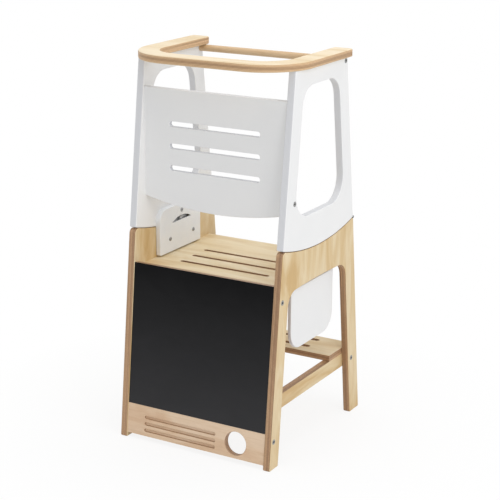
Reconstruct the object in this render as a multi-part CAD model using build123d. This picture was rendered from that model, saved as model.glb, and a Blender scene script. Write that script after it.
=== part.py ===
from build123d import *
import os
from math import atan, cos, sin, sqrt

# A child's standing tower of birch plywood: a lower stool with a platform, a step and a chalkboard,
# and a white upper frame with a guard and a U-shaped top rail that folds back over the far edge.
# Frame: +Z up, the origin on the floor at the middle of the footprint, +X to the right, -Y is the
# side with the chalkboard. All sizes are millimetres.

# Whole object
TOTAL_HEIGHT = 900.0
FLOOR_DEPTH = 448.6
INNER_WIDTH = 366.8
SIDE_THICKNESS = 18.0

# Lower side panels: both edges lean in, the top is a hollow arc and the bottom an open arch
EDGE_SLOPE = 0.108
SEAM_LOW = 473.5
SEAM_RADIUS = 634.0
SEAM_NEAR_CORNER = 12.0
SEAM_FAR_CORNER = 5.0
NEAR_LEG_WIDTH = 39.4
FAR_LEG_WIDTH = 47.4
ARCH_BELOW_SEAM = 75.5
ARCH_RISE = 4.0
ARCH_CORNER = 38.0
FOOT_CORNER = 3.0
PANEL_ROUNDOVER = 2.5

# Upper side panels
SEAM_GAP = 1.0
UPPER_INSET = 1.2
UPPER_SLOPE = 0.124
UPPER_CORNER = 3.0
WINDOW_MARGIN = 43.0
WINDOW_BELOW_RAIL = 38.5
WINDOW_ABOVE_SEAM = 80.5
WINDOW_TOP_CORNER = 50.0
WINDOW_BOTTOM_CORNER = 55.0

# Top rail
RAIL_THICKNESS = 18.0
RAIL_OVERHANG = 11.6
RAIL_ARM_WIDTH = 48.0
RAIL_FRONT_WIDTH = 46.0
RAIL_FRONT_REACH = 62.4
RAIL_END_REACH = 5.8
RAIL_OUTER_CORNER = 115.0
RAIL_INNER_CORNER = 72.0
RAIL_END_CORNER = 8.0
RAIL_ROUNDOVER = 3.0

# Guard panel and the crossbar under the rail
GUARD_THICKNESS = 12.0
GUARD_SETBACK = 2.4
GUARD_BELOW_TOP = 82.0
GUARD_ABOVE_SEAM = 91.5
GUARD_BOTTOM_RISE = 21.5
GUARD_SLOT_LENGTH = 234.0
GUARD_SLOT_WIDTH = 12.0
GUARD_SLOT_DROPS = (79.5, 130.0, 180.5)
CROSSBAR_DIAMETER = 16.0
CROSSBAR_SETBACK = 9.7
CROSSBAR_GAP = 0.3

# Front panel with the chalkboard let into it, both parallel to the near edges
FRONT_SETBACK = 2.0
FRONT_THICKNESS = 15.0
FRONT_BOTTOM = 11.5
FRONT_ABOVE_PLATFORM = 11.0
CHALK_THICKNESS = 3.0
CHALK_BOTTOM = 84.0
GROOVE_RADIUS = 4.0
GROOVE_LENGTH = 193.0
GROOVE_FROM_LEFT = 46.4
GROOVE_HEIGHTS = (57.0, 41.4, 25.9)
HOLE_DIAMETER = 55.0
HOLE_FROM_RIGHT = 74.4
HOLE_HEIGHT = 46.5
HOLE_RIM_CHAMFER = 0.8

# Platform and step, each with slots right through
PLATFORM_BELOW_SEAM = 67.0
PLATFORM_THICKNESS = 18.0
PLATFORM_FAR_SETBACK = 31.4
PLATFORM_NEAR_EASE = 0.6
PLATFORM_SLOTS = (-84.0, -32.0, 20.0)
PLATFORM_SLOT_LENGTH = 236.0
PLATFORM_SLOT_WIDTH = 11.0
STEP_TOP = 169.5
STEP_THICKNESS = 15.0
STEP_DEPTH = 110.0
STEP_SLOT_SETBACKS = (27.0, 76.0)
STEP_SLOT_LENGTH = 226.0
STEP_SLOT_WIDTH = 13.0
BOARD_ROUNDOVER = 2.0
STRETCHER_HEIGHT = 34.5
STRETCHER_THICKNESS = 18.0
STRETCHER_FAR_SETBACK = 8.0

# Bolts, inserts, dowels and cam locks
BOLT_RADIUS = 2.5
BOLT_HEAD_RADIUS = 6.0
BOLT_HEAD_HEIGHT = 2.0
BOLT_HEAD_PROUD = 0.6
BOLT_HEAD_CHAMFER = 0.48
BOLT_REACH = 14.0
HEX_ACROSS_FLATS = 4.0
HEX_DEPTH = 1.4
INSERT_RADIUS = 4.0
INSERT_LENGTH = 15.0
SNUG = 0.05
BOLT_HOLE_PLAY = 0.3
DOWEL_RADIUS = 4.0
THIN_DOWEL_RADIUS = 3.0
DOWEL_LENGTH = 30.0
DOWEL_IN_SIDE = 12.0
CAM_RADIUS = 7.5
CAM_DEPTH = 12.5
CAM_FROM_SIDE = 34.0
CAM_BOLT_RADIUS = 3.0
CAM_BOLT_IN_SIDE = 11.0
CAM_SLOT_LENGTH = 11.25
CAM_SLOT_WIDTH = 1.6
CAM_SLOT_DEPTH = 1.5
FRONT_BOLT_SETBACK = 11.0
FRONT_BOLT_DROP = 34.8
FRONT_BOLT_LOW = 66.7
STRETCHER_BOLT_SETBACK = 31.8
STRETCHER_BOLT_DROP = 12.0
GUARD_BOLT_ABOVE_SEAM = 119.8
GUARD_DOWELS_BELOW_TOP = (28.0, 128.0)
RAIL_DOWEL_SPACING = 90.0
PLATFORM_DOWEL_INSETS = (13.2, 9.0)
PLATFORM_CAM_INSETS = (38.2, 33.0)
STEP_SCREW_INSETS = (29.0, 94.0)
STEP_SCREW_LENGTH = 45.0
SCREW_RADIUS = 2.0
SCREW_HEAD_RADIUS = 4.0
STRETCHER_DOWEL_IN_PANEL = 8.0

# Hinges on the far edges, where the upper frame turns over
HINGE_BEHIND_EDGE = 3.8
HINGE_KNUCKLE_RADIUS = 3.2
HINGE_PIN_RADIUS = 1.5
HINGE_PIN_HEAD = 0.6
HINGE_PIN_HEAD_RADIUS = 2.3
HINGE_WIDTH = 14.0
HINGE_LEAF_THICKNESS = 1.6
HINGE_LEAF_LENGTH = 32.0
HINGE_KNUCKLE_GAP = 0.2
HINGE_WEB_FROM_PIN = 1.8
HINGE_SCREW_DISTANCES = (12.0, 25.0)
HINGE_SCREW_LENGTH = 14.0
RUNNING_CLEARANCE = 0.05

# Locks inside the side panels: a housing on the upper frame and a hook that holds a pin below
LOCK_HALF_DEPTH = 88.5
LOCK_THICKNESS = 12.0
LOCK_ABOVE_PLATFORM = 3.1
LOCK_ABOVE_SEAM = 45.0
LOCK_TOP_CORNER = 28.0
LOCK_BOTTOM_CORNER = 4.0
LOCK_WALL = 3.0
LOCK_RELIEF = 1.0
LOCK_RELIEF_ABOVE_SEAM = 6.0
LOCK_ROUNDOVER = 1.5
FINGER_SLOT_WIDTH = 84.0
FINGER_SLOT_HEIGHT = 11.5
FINGER_SLOT_ABOVE_SEAM = 5.0
LOCK_CENTRE = 4.8
LOCK_LOWER_SPREAD = 50.6
LOCK_PIVOT_ABOVE_SEAM = 28.9
LOCK_LOWER_BELOW_SEAM = 31.6
LOCK_PEG_SPREAD = 55.0
LOCK_PEG_ABOVE_SEAM = 32.5
LOCK_PEG_RADIUS = 3.0
LOCK_PEG_LENGTH = 8.0
LOCK_BOSS_RADIUS = 5.5
LOCK_SCREW_HEAD_RADIUS = 5.0
LOCK_SCREW_HEAD_HEIGHT = 1.6
LOCK_SCREW_HEAD_ROUND = 1.12
LOCK_SCREW_SOCKET_FLOOR = 0.3
LOCK_SCREW_RADIUS = 2.5
LOCK_SCREW_IN_PANEL = 12.0
BACK_PLATE_THICKNESS = 1.5
BACK_PLATE_MARGIN = 9.0
BACK_PLATE_BRIDGE = 72.0
PIN_BELOW_SEAM = 23.5
PIN_RADIUS = 3.0
PIN_PROUD = 8.0
PIN_IN_PANEL = 12.0
PIN_CHAMFER = 0.5
PIN_EXIT_WIDTH = 30.0
PIN_EXIT_SHIFT = 9.5
PIN_EXIT_MARGIN = 2.0
LEVER_THICKNESS = 4.6
LEVER_GAP = 0.5
LEVER_HUB_RADIUS = 9.0
LEVER_SHANK_WIDTH = 8.0
LEVER_LIP_HEIGHT = 6.0
LEVER_LIP_REACH = 4.5
LEVER_LIP_TIP = 2.0
LEVER_NECK = 6.0
LEVER_HUB_OVERLAP = 4.0
LEVER_TAB_WIDTH = 12.0
LEVER_TAB_HEIGHT = 5.5
LEVER_TAB_LIFT = 2.2
LEVER_TAB_PROUD = 2.4
SPRING_THICKNESS = 0.6
SPRING_WIDTH = 3.6
SPRING_BOW = 5.0
SPRING_RISE = 12.0
SPRING_TO_SHANK = 0.2
SPRING_TO_FACE = 0.5

# Side flap that hangs inside the right-hand arch
FLAP_THICKNESS = 9.0
FLAP_WIDTH = 204.0
FLAP_CENTRE = 5.0
FLAP_BOTTOM = 240.0
FLAP_GAP = 3.5
FLAP_FROM_SIDE = 0.6
FLAP_CORNER = 45.0
FLAP_ROUNDOVER = 2.0
FLAP_HINGE_PLACES = (-45.0, 55.0)
FLAP_HINGE_WIDTH = 30.0
FLAP_HINGE_KNUCKLE = 2.8
FLAP_LEAF_LENGTH = 24.0
FLAP_LEAF_THICKNESS = 1.5
FLAP_PIN_CLEARANCE = 0.4
FLAP_SCREW_FROM_PIN = 14.88
FLAP_SCREW_LENGTH = 7.0
FLAP_PLATFORM_SCREW_LENGTH = 12.0
FLAP_SCREW_RADIUS = 1.5
FLAP_SCREW_HEAD_RADIUS = 3.0

# How far construction shapes run past the piece that they trim
BEYOND = 10.0

# Places that follow from the sizes above
inner_x = INNER_WIDTH / 2
outer_x = inner_x + SIDE_THICKNESS
side_middle_x = inner_x + SIDE_THICKNESS / 2
seam_centre_z = SEAM_LOW + SEAM_RADIUS
arch_top = SEAM_LOW - ARCH_BELOW_SEAM
platform_top = SEAM_LOW - PLATFORM_BELOW_SEAM
front_top = platform_top + FRONT_ABOVE_PLATFORM
rail_bottom = TOTAL_HEIGHT - RAIL_THICKNESS
platform_bottom = platform_top - PLATFORM_THICKNESS
platform_middle = platform_top - PLATFORM_THICKNESS / 2
step_bottom = STEP_TOP - STEP_THICKNESS
stretcher_bottom = step_bottom - STRETCHER_HEIGHT
guard_top = TOTAL_HEIGHT - GUARD_BELOW_TOP
guard_end_bottom = SEAM_LOW + GUARD_ABOVE_SEAM
crossbar_z = rail_bottom - CROSSBAR_GAP - CROSSBAR_DIAMETER / 2
slope_cosine = cos(atan(EDGE_SLOPE))


def lower_half_depth(z):
    """Half the depth of the lower side panels at a height."""
    return FLOOR_DEPTH / 2 - EDGE_SLOPE * z


def seam_height(y):
    """Height of the hollow arc on top of the lower side panels."""
    return seam_centre_z - sqrt(SEAM_RADIUS**2 - y**2)


def find_seam_end():
    """Height where the seam arc meets the leaning edge."""
    z = SEAM_LOW
    for _ in range(40):
        z = seam_height(lower_half_depth(z))
    return z


seam_end = find_seam_end()


def upper_half_depth(z):
    """Half the depth of the white side panels at a height."""
    return lower_half_depth(seam_end) - UPPER_INSET - UPPER_SLOPE * (z - seam_end)


guard_front = -upper_half_depth(guard_top) + GUARD_SETBACK
guard_middle = guard_front + GUARD_THICKNESS / 2
crossbar_y = upper_half_depth(crossbar_z) - CROSSBAR_SETBACK
hinge_y = lower_half_depth(seam_end) + HINGE_BEHIND_EDGE
hinge_z = seam_end - SEAM_GAP / 2
step_far = lower_half_depth(STEP_TOP)
lock_bottom = platform_top + LOCK_ABOVE_PLATFORM
lock_top = SEAM_LOW + LOCK_ABOVE_SEAM
pivot_z = SEAM_LOW + LOCK_PIVOT_ABOVE_SEAM
pin_z = SEAM_LOW - PIN_BELOW_SEAM


def front_rear_y(z):
    """Depth of the slanting rear face of the front panel at a height."""
    return -lower_half_depth(z) + (FRONT_SETBACK + FRONT_THICKNESS) / slope_cosine


def rod_x(radius, x_from, x_to, y, z):
    """A round bar along X."""
    low, high = sorted((x_from, x_to))
    return extrude(Plane.YZ.offset(low) * (Pos(y, z) * Circle(radius)), amount=high - low)


def rod_y(radius, y_from, y_to, x, z):
    """A round bar along Y."""
    middle = (y_from + y_to) / 2
    return Pos(x, middle, z) * Rot(90, 0, 0) * Cylinder(radius, abs(y_to - y_from))


def rod_z(radius, z_from, z_to, x, y):
    """A round bar along Z."""
    middle = (z_from + z_to) / 2
    return Pos(x, y, middle) * Cylinder(radius, abs(z_to - z_from))


def block(x_from, x_to, y_from, y_to, z_from, z_to):
    """A square-edged block between six faces."""
    size = (abs(x_to - x_from), abs(y_to - y_from), abs(z_to - z_from))
    return Pos((x_from + x_to) / 2, (y_from + y_to) / 2, (z_from + z_to) / 2) * Box(*size)


def plate_x(outline, x_from, x_to):
    """An outline drawn as (Y, Z), given a thickness along X."""
    low, high = sorted((x_from, x_to))
    return extrude(Plane.YZ.offset(low) * outline, amount=high - low)


def round_broad_faces(plate, axis, radius):
    """Round the edges all the way round both broad faces of a plate."""
    faces = plate.faces().filter_by(axis).sort_by(axis)
    return fillet(faces[0].edges() + faces[-1].edges(), radius)


def other_side(shape):
    """The same piece on the other side of the middle plane."""
    return mirror(shape, Plane.YZ)


def both_sides(shape):
    """A right-hand piece and its left-hand twin."""
    return [shape, other_side(shape)]


def group(solids):
    """Separate solids kept in one node."""
    flat = []
    for item in solids:
        flat += item.solids()
    return Compound(flat)


def cut_all(shape, tools):
    """Take every tool away from a shape."""
    for tool in tools:
        shape = shape - tool
    return shape


def side_bolt(y, z):
    """Socket-head bolt through the right-hand side panel, its head let into the outer face."""
    head_base = outer_x + BOLT_HEAD_PROUD - BOLT_HEAD_HEIGHT
    head = rod_x(BOLT_HEAD_RADIUS, head_base, head_base + BOLT_HEAD_HEIGHT, y, z)
    head = chamfer(head.faces().sort_by(Axis.X)[-1].edges(), BOLT_HEAD_CHAMFER)
    shank = rod_x(BOLT_RADIUS, inner_x - BOLT_REACH, head_base, y, z)
    hexagon = Pos(y, z) * RegularPolygon(HEX_ACROSS_FLATS / 2, 6, major_radius=False)
    socket_base = head_base + BOLT_HEAD_HEIGHT - HEX_DEPTH
    return head + shank - plate_x(hexagon, socket_base, outer_x + BOLT_HEAD_PROUD)


def side_bolt_hole(y, z):
    """Clearance hole and shallow seat for a side bolt in the right-hand panel."""
    seat_floor = outer_x + BOLT_HEAD_PROUD - BOLT_HEAD_HEIGHT
    seat = rod_x(BOLT_HEAD_RADIUS + SNUG, seat_floor, outer_x + 1, y, z)
    return seat + rod_x(BOLT_RADIUS + BOLT_HOLE_PLAY, inner_x - 1, outer_x, y, z)


def insert_nut(y, z):
    """Threaded insert in the end of a cross piece, flush with the inside of the side panel."""
    body = rod_x(INSERT_RADIUS, inner_x - INSERT_LENGTH, inner_x, y, z)
    return body - rod_x(BOLT_RADIUS + SNUG, inner_x - INSERT_LENGTH, inner_x, y, z)


def insert_hole(y, z):
    """Blind hole for an insert."""
    return rod_x(INSERT_RADIUS + SNUG, inner_x - INSERT_LENGTH, inner_x + 1, y, z)


def side_dowel(radius, y, z):
    """Wooden dowel from a right-hand side panel into a cross piece."""
    return rod_x(radius, inner_x + DOWEL_IN_SIDE - DOWEL_LENGTH, inner_x + DOWEL_IN_SIDE, y, z)


def countersunk_screw(length, radius=SCREW_RADIUS, head=SCREW_HEAD_RADIUS):
    """Countersunk screw pointing down from its flat head at the origin, with a cross recess."""
    cone = Pos(0, 0, -head / 4) * Cone(radius, head, head / 2)
    shank = rod_z(radius, -length, -head / 4, 0, 0)
    recess = Box(head, head / 4, head / 4) + Box(head / 4, head, head / 4)
    return cone + shank - Pos(0, 0, -head / 8) * recess


def countersunk_hole(length, radius=SCREW_RADIUS, head=SCREW_HEAD_RADIUS):
    """Hole for a countersunk screw."""
    cone = Pos(0, 0, -head / 4) * Cone(radius + SNUG, head + SNUG, head / 2)
    return cone + rod_z(radius + SNUG, -length, 0, 0, 0)


front_bolt_places = []
for bolt_height in (front_top - FRONT_BOLT_DROP, FRONT_BOLT_LOW):
    bolt_y = -lower_half_depth(bolt_height) + FRONT_BOLT_SETBACK / slope_cosine
    front_bolt_places.append((bolt_y, bolt_height))
stretcher_bolt_z = step_bottom - STRETCHER_BOLT_DROP
stretcher_bolt_place = (lower_half_depth(stretcher_bolt_z) - STRETCHER_BOLT_SETBACK, stretcher_bolt_z)
guard_bolt_place = (guard_middle, SEAM_LOW + GUARD_BOLT_ABOVE_SEAM)
crossbar_place = (crossbar_y, crossbar_z)
platform_near = front_rear_y(platform_top)
platform_far = lower_half_depth(platform_top) - PLATFORM_FAR_SETBACK


def near_and_far(insets):
    """Two places along the platform's ends, clear of the arch below, from its near and far edges."""
    return (platform_near + insets[0], platform_far - insets[1])


platform_dowel_places = [(y, platform_middle) for y in near_and_far(PLATFORM_DOWEL_INSETS)]
platform_cam_places = near_and_far(PLATFORM_CAM_INSETS)
guard_dowel_places = [(guard_middle, guard_top - drop) for drop in GUARD_DOWELS_BELOW_TOP]
lock_lower_z = SEAM_LOW - LOCK_LOWER_BELOW_SEAM
lock_lower_places = [
    (LOCK_CENTRE - LOCK_LOWER_SPREAD, lock_lower_z),
    (LOCK_CENTRE + LOCK_LOWER_SPREAD, lock_lower_z),
]
lock_pivot_place = (LOCK_CENTRE, pivot_z)
lock_peg_places = [
    (LOCK_CENTRE - LOCK_PEG_SPREAD, SEAM_LOW + LOCK_PEG_ABOVE_SEAM),
    (LOCK_CENTRE + LOCK_PEG_SPREAD, SEAM_LOW + LOCK_PEG_ABOVE_SEAM),
]


# Hinge frames: the leaf lies on the far edge of a side panel, which leans inwards
lower_lean = atan(EDGE_SLOPE)
upper_lean = atan(UPPER_SLOPE)


def on_far_edge(edge_y, lean, direction):
    """Plane on a far edge at the hinge's height: local x along X, local y away from the seam."""
    along = (0, -direction * sin(lean), direction * cos(lean))
    outward = Vector(1, 0, 0).cross(Vector(*along))
    return Plane(origin=(side_middle_x, edge_y, hinge_z), x_dir=(1, 0, 0), z_dir=outward)


lower_edge_at_hinge = lower_half_depth(hinge_z)
upper_edge_at_hinge = upper_half_depth(hinge_z)
lower_leaf_plane = on_far_edge(lower_edge_at_hinge, lower_lean, -1)
upper_leaf_plane = on_far_edge(upper_edge_at_hinge, upper_lean, 1)


def edge_screws(plane, outward, holes=False):
    """Screws, or their holes, through a hinge leaf into the edge of a side panel."""
    make = countersunk_hole if holes else countersunk_screw
    turn = Rot(0, 0, 0) if outward > 0 else Rot(180, 0, 0)
    lift = outward * HINGE_LEAF_THICKNESS
    return [plane * Pos(0, d, lift) * turn * make(HINGE_SCREW_LENGTH) for d in HINGE_SCREW_DISTANCES]


# The outward normal of each leaf plane, seen along its own z
lower_outward = 1 if lower_leaf_plane.z_dir.Y > 0 else -1
upper_outward = 1 if upper_leaf_plane.z_dir.Y > 0 else -1


def lower_side():
    """Right-hand lower side panel."""
    above = seam_end + 3 * BEYOND
    corners = [
        (-lower_half_depth(0), 0),
        (lower_half_depth(0), 0),
        (lower_half_depth(above), above),
        (-lower_half_depth(above), above),
    ]
    outline = make_face(Polyline(*corners, close=True)) - Pos(0, seam_centre_z) * Circle(SEAM_RADIUS)
    tips = outline.vertices().sort_by(Axis.Y)[-2:].sort_by(Axis.X)
    outline = fillet(tips[0], SEAM_NEAR_CORNER)
    outline = fillet(outline.vertices().sort_by(Axis.Y)[-1], SEAM_FAR_CORNER)
    spring = arch_top - ARCH_RISE
    below = -BEYOND
    near_foot = NEAR_LEG_WIDTH - lower_half_depth(0)
    far_foot = lower_half_depth(0) - FAR_LEG_WIDTH
    near_spring = (near_foot + EDGE_SLOPE * spring, spring)
    far_spring = (far_foot - EDGE_SLOPE * spring, spring)
    crown = ((near_spring[0] + far_spring[0]) / 2, arch_top)
    feet = [(near_foot + EDGE_SLOPE * below, below), (far_foot - EDGE_SLOPE * below, below)]
    legs = Polyline(near_spring, *feet, far_spring)
    arch = make_face(legs + ThreePointArc(far_spring, crown, near_spring))
    arch = fillet(arch.vertices().sort_by(Axis.Y)[-2:], ARCH_CORNER)
    outline = outline - arch
    outline = fillet(outline.vertices().group_by(Axis.Y)[0], FOOT_CORNER)
    panel = round_broad_faces(plate_x(outline, inner_x, outer_x), Axis.X, PANEL_ROUNDOVER)
    cuts = [side_bolt_hole(*place) for place in front_bolt_places + [stretcher_bolt_place]]
    cuts += [side_dowel(DOWEL_RADIUS + SNUG, *place) for place in platform_dowel_places]
    cam_hole_end = inner_x + CAM_BOLT_IN_SIDE
    for y in platform_cam_places:
        cuts.append(rod_x(CAM_BOLT_RADIUS + SNUG, inner_x - 1, cam_hole_end, y, platform_middle))
    cuts.append(rod_x(PIN_RADIUS + SNUG, inner_x - 1, inner_x + PIN_IN_PANEL, LOCK_CENTRE, pin_z))
    cuts += edge_screws(lower_leaf_plane, lower_outward, holes=True)
    return cut_all(panel, cuts)


def upper_side():
    """Right-hand white side panel with its window."""
    bottom = SEAM_LOW - BEYOND
    corners = [
        (-upper_half_depth(bottom), bottom),
        (upper_half_depth(bottom), bottom),
        (upper_half_depth(rail_bottom), rail_bottom),
        (-upper_half_depth(rail_bottom), rail_bottom),
    ]
    outline = make_face(Polyline(*corners, close=True))
    outline = outline & (Pos(0, seam_centre_z) * Circle(SEAM_RADIUS - SEAM_GAP))
    outline = fillet(outline.vertices().sort_by(Axis.Y)[:2], UPPER_CORNER)
    low = SEAM_LOW + WINDOW_ABOVE_SEAM
    high = rail_bottom - WINDOW_BELOW_RAIL
    low_half = upper_half_depth(low) - WINDOW_MARGIN
    high_half = upper_half_depth(high) - WINDOW_MARGIN
    window = make_face(
        Polyline((-low_half, low), (low_half, low), (high_half, high), (-high_half, high), close=True)
    )
    window = fillet(window.vertices().group_by(Axis.Y)[0], WINDOW_BOTTOM_CORNER)
    window = fillet(window.vertices().group_by(Axis.Y)[-1], WINDOW_TOP_CORNER)
    panel = plate_x(outline - window, inner_x, outer_x)
    broad = panel.faces().filter_by(Axis.X)
    rounded = [edge for edge in broad.edges() if edge.center().Z < rail_bottom - 1]
    panel = fillet(rounded, PANEL_ROUNDOVER)
    cuts = [side_bolt_hole(*guard_bolt_place), side_bolt_hole(*crossbar_place)]
    cuts += [side_dowel(THIN_DOWEL_RADIUS + SNUG, *place) for place in guard_dowel_places]
    cuts += [rail_dowel(y, SNUG) for y in rail_dowel_places]
    screw_end = inner_x + LOCK_SCREW_IN_PANEL
    cuts.append(rod_x(LOCK_SCREW_RADIUS + SNUG, inner_x - 1, screw_end, *lock_pivot_place))
    for y, z in lock_peg_places:
        cuts.append(rod_x(LOCK_PEG_RADIUS + SNUG, inner_x - 1, inner_x + LOCK_PEG_LENGTH, y, z))
    cuts += edge_screws(upper_leaf_plane, upper_outward, holes=True)
    return cut_all(panel, cuts)


rail_dowel_places = (-RAIL_DOWEL_SPACING, 0.0, RAIL_DOWEL_SPACING)


def rail_dowel(y, extra=0.0):
    """Upright dowel between a white side panel and the rail."""
    low = rail_bottom + DOWEL_IN_SIDE - DOWEL_LENGTH
    return rod_z(DOWEL_RADIUS + extra, low, rail_bottom + DOWEL_IN_SIDE, side_middle_x, y)


def top_rail():
    """U-shaped rail, open towards the far side."""
    half_outer = outer_x + RAIL_OVERHANG
    half_inner = half_outer - RAIL_ARM_WIDTH
    near = -(upper_half_depth(rail_bottom) + RAIL_FRONT_REACH)
    far = upper_half_depth(rail_bottom) + RAIL_END_REACH
    outer = Pos(0, (near + far) / 2) * Rectangle(2 * half_outer, far - near)
    outer = fillet(outer.vertices().group_by(Axis.Y)[0], RAIL_OUTER_CORNER)
    inner_near = near + RAIL_FRONT_WIDTH
    beyond = far + RAIL_INNER_CORNER
    inner = Pos(0, (inner_near + beyond) / 2) * Rectangle(2 * half_inner, beyond - inner_near)
    inner = fillet(inner.vertices().group_by(Axis.Y)[0], RAIL_INNER_CORNER)
    outline = outer - inner
    outline = fillet(outline.vertices().group_by(Axis.Y)[-1], RAIL_END_CORNER)
    rail = extrude(Pos(0, 0, rail_bottom) * outline, amount=RAIL_THICKNESS)
    rail = round_broad_faces(rail, Axis.Z, RAIL_ROUNDOVER)
    holes = []
    for y in rail_dowel_places:
        holes += both_sides(rail_dowel(y, SNUG))
    return cut_all(rail, holes)


def slot(centre, length, width):
    """Round-ended slot outline about a centre."""
    return Pos(*centre) * SlotOverall(length, width)


def guard_panel():
    """White guard between the upper side panels, with three slots and a bowed lower edge."""
    middle_bottom = guard_end_bottom - GUARD_BOTTOM_RISE
    edges = Polyline((-inner_x, guard_end_bottom), (-inner_x, guard_top), (inner_x, guard_top),
                     (inner_x, guard_end_bottom))
    edges = edges + ThreePointArc(
        (inner_x, guard_end_bottom), (0, middle_bottom), (-inner_x, guard_end_bottom))
    outline = make_face(edges)
    for drop in GUARD_SLOT_DROPS:
        outline = outline - slot((0, guard_top - drop), GUARD_SLOT_LENGTH, GUARD_SLOT_WIDTH)
    panel = extrude(Plane.XZ.offset(-guard_front) * outline, amount=-GUARD_THICKNESS)
    broad = panel.faces().filter_by(Axis.Y)
    rounded = [edge for edge in broad.edges() if abs(edge.center().X) < inner_x - 1]
    panel = fillet(rounded, BOARD_ROUNDOVER)
    cuts = both_sides(insert_hole(*guard_bolt_place))
    for place in guard_dowel_places:
        cuts += both_sides(side_dowel(THIN_DOWEL_RADIUS + SNUG, *place))
    return cut_all(panel, cuts)


def crossbar():
    """Round bar between the white side panels, just under the rail."""
    bar = rod_x(CROSSBAR_DIAMETER / 2, -inner_x, inner_x, *crossbar_place)
    return cut_all(bar, both_sides(insert_hole(*crossbar_place)))


# Plane on the front of the near edges: local x along X, local y up the slope, local z outwards
front_plane = Plane(origin=(0, -FLOOR_DEPTH / 2, 0), x_dir=(1, 0, 0), z_dir=(0, -1, EDGE_SLOPE))


def up_slope(z):
    """Distance up the slope for a height."""
    return z / slope_cosine


def sloped_board(x_half, z_from, z_to, back, front):
    """A board parallel to the near edges, between two depths behind them."""
    low, high = up_slope(z_from), up_slope(z_to)
    shape = Pos(0, (low + high) / 2, -(back + front) / 2) * Box(2 * x_half, high - low, back - front)
    return front_plane * shape


def front_panel():
    """Slanting front: a wooden strip below with grooves and a hole, a rebate above for the chalkboard."""
    back = FRONT_SETBACK + FRONT_THICKNESS
    panel = sloped_board(inner_x, FRONT_BOTTOM, front_top, back, FRONT_SETBACK)
    rebate_floor = FRONT_SETBACK + CHALK_THICKNESS
    panel = panel - sloped_board(inner_x + 1, CHALK_BOTTOM, front_top + BEYOND, rebate_floor, -1)
    hole = Pos(inner_x - HOLE_FROM_RIGHT, up_slope(HOLE_HEIGHT), 0) * Cylinder(HOLE_DIAMETER / 2, 4 * back)
    panel = panel - front_plane * hole
    rims = panel.edges().filter_by(GeomType.CIRCLE)
    panel = chamfer(rims, HOLE_RIM_CHAMFER)
    straight = GROOVE_LENGTH - 2 * GROOVE_RADIUS
    groove_middle = -inner_x + GROOVE_FROM_LEFT + GROOVE_LENGTH / 2
    for height in GROOVE_HEIGHTS:
        groove = Rot(0, 90, 0) * Cylinder(GROOVE_RADIUS, straight)
        for end in (-straight / 2, straight / 2):
            groove = groove + Pos(end, 0, 0) * Sphere(GROOVE_RADIUS)
        panel = panel - front_plane * (Pos(groove_middle, up_slope(height), -FRONT_SETBACK) * groove)
    cuts = []
    for place in front_bolt_places:
        cuts += both_sides(insert_hole(*place))
    cuts += both_sides(stretcher_dowel(SNUG))
    return cut_all(panel, cuts)


def chalkboard():
    """Black writing board let into the front panel, flush with the wooden strip."""
    return sloped_board(inner_x, CHALK_BOTTOM, front_top, FRONT_SETBACK + CHALK_THICKNESS, FRONT_SETBACK)


stretcher_middle_x = inner_x - STRETCHER_THICKNESS / 2
stretcher_middle_z = stretcher_bottom + STRETCHER_HEIGHT / 2


def stretcher_dowel(extra=0.0):
    """Dowel between the front panel and the near end of the right-hand stretcher."""
    near = front_rear_y(stretcher_middle_z) - STRETCHER_DOWEL_IN_PANEL
    return rod_y(DOWEL_RADIUS + extra, near, near + DOWEL_LENGTH, stretcher_middle_x, stretcher_middle_z)


def cam_body(y, extra=0.0):
    """Cam lock sunk in the underside of the platform, right-hand side."""
    x = inner_x - CAM_FROM_SIDE
    return rod_z(CAM_RADIUS + extra, platform_bottom, platform_bottom + CAM_DEPTH, x, y)


def cam_bolt(y, extra=0.0):
    """Bolt from a side panel into a cam lock."""
    x = inner_x - CAM_FROM_SIDE
    return rod_x(CAM_BOLT_RADIUS + extra, x, inner_x + CAM_BOLT_IN_SIDE, y, platform_middle)


def platform():
    """Standing board with three slots, its near edge cut to the slope of the front panel."""
    corners = [
        (front_rear_y(platform_bottom), platform_bottom),
        (platform_far, platform_bottom),
        (platform_far, platform_top),
        (front_rear_y(platform_top) + PLATFORM_NEAR_EASE, platform_top),
        (front_rear_y(platform_top - PLATFORM_NEAR_EASE), platform_top - PLATFORM_NEAR_EASE),
    ]
    board = plate_x(make_face(Polyline(*corners, close=True)), -inner_x, inner_x)
    board = fillet(board.faces().sort_by(Axis.Y)[-1].edges().filter_by(Axis.X), BOARD_ROUNDOVER)
    for y in PLATFORM_SLOTS:
        outline = Pos(0, 0, platform_bottom) * slot((0, y), PLATFORM_SLOT_LENGTH, PLATFORM_SLOT_WIDTH)
        board = board - extrude(outline, amount=PLATFORM_THICKNESS)
    cuts = []
    for place in platform_dowel_places:
        cuts += both_sides(side_dowel(DOWEL_RADIUS + SNUG, *place))
    for y in platform_cam_places:
        cuts += both_sides(cam_body(y, SNUG)) + both_sides(cam_bolt(y, SNUG))
    cuts += flap_platform_screws(holes=True)
    return cut_all(board, cuts)


def cam_lock(y):
    """Cam lock body with its screwdriver slot and the opening for its bolt."""
    x = inner_x - CAM_FROM_SIDE
    body = cam_body(y) - rod_x(CAM_BOLT_RADIUS + SNUG, x - 1, inner_x, y, platform_middle)
    half_length = CAM_SLOT_LENGTH / 2
    half_width = CAM_SLOT_WIDTH / 2
    driver = block(x - half_length, x + half_length, y - half_width, y + half_width,
                   platform_bottom, platform_bottom + CAM_SLOT_DEPTH)
    return body - driver


def step_screw_places():
    """Where the screws hold the step on the right-hand stretcher."""
    near = step_far - STEP_DEPTH
    return [(stretcher_middle_x, near + inset) for inset in STEP_SCREW_INSETS]


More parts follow.
